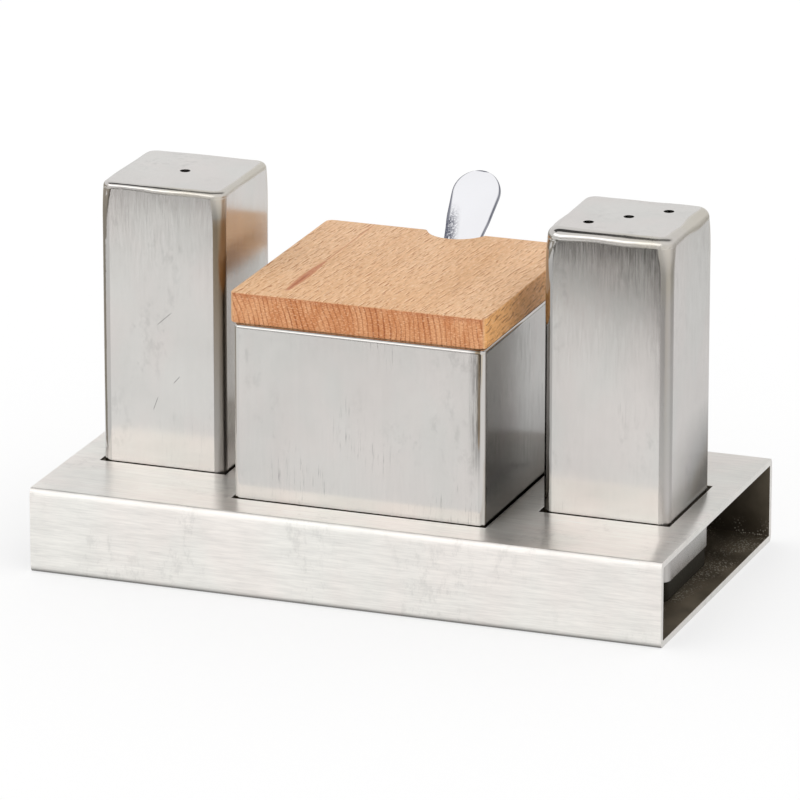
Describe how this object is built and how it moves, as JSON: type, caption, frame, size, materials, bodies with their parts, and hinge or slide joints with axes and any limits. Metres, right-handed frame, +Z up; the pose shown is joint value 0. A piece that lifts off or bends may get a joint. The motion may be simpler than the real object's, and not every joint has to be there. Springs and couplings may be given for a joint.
{
  "type": "salt and sugar set",
  "caption": "Square steel shakers and a square sugar box with a wooden lid and a spoon, standing in the cut-outs of a flat steel tube.",
  "frame": {"origin": "middle of the stand's flat underside", "axes": "+X along the stand to the right as seen from the front, +Y to its back, +Z up"},
  "size_m": [0.151, 0.0843, 0.0863],
  "materials": {
    "stand_steel": "brushed along its length",
    "shaker_steel": "satin, brushed upright, with polished edges",
    "box_steel": "satin, brushed upright, with a polished rim",
    "spoon_steel": "polished stainless steel",
    "lid_wood": "plain beech, waxed",
    "plug_plastic": "dark grey, soft and matt"
  },
  "bodies": {
    "stand": {"stand_tube": "stand_steel"},
    "left_shaker": {"left_shaker_tube": "shaker_steel", "left_shaker_top": "shaker_steel"},
    "left_plug": {"left_shaker_plug": "plug_plastic"},
    "right_shaker": {"right_shaker_tube": "shaker_steel", "right_shaker_top": "shaker_steel"},
    "right_plug": {"right_shaker_plug": "plug_plastic"},
    "sugar_box": {"box_tube": "box_steel", "box_bottom": "box_steel"},
    "lid": {"lid_board": "lid_wood", "lid_block": "lid_wood"},
    "spoon": {"sugar_spoon": "spoon_steel"}
  },
  "joints": [
    {"name": "left_shaker_lift", "type": "slide", "parent": "stand", "child": "left_shaker", "axis": [0, 0, 1], "range_m": [0, 0.1]},
    {"name": "left_plug_pull", "type": "slide", "parent": "left_shaker", "child": "left_plug", "axis": [0, 0, -1], "range_m": [0, 0.02]},
    {"name": "right_shaker_lift", "type": "slide", "parent": "stand", "child": "right_shaker", "axis": [0, 0, 1], "range_m": [0, 0.1]},
    {"name": "right_plug_pull", "type": "slide", "parent": "right_shaker", "child": "right_plug", "axis": [0, 0, -1], "range_m": [0, 0.02]},
    {"name": "box_lift", "type": "slide", "parent": "stand", "child": "sugar_box", "axis": [0, 0, 1], "range_m": [0, 0.1]},
    {"name": "lid_lift", "type": "slide", "parent": "sugar_box", "child": "lid", "axis": [0, 0, 1], "range_m": [0, 0.1]},
    {"name": "spoon_lift", "type": "slide", "parent": "sugar_box", "child": "spoon", "axis": [0, 0, 1], "range_m": [0, 0.065]}
  ],
  "couplings": [
    {"joint": "left_plug_pull", "follows": "left_shaker_lift", "ratio": 0.2},
    {"joint": "right_plug_pull", "follows": "right_shaker_lift", "ratio": 0.2},
    {"joint": "spoon_lift", "follows": "lid_lift", "ratio": 0.65}
  ]
}
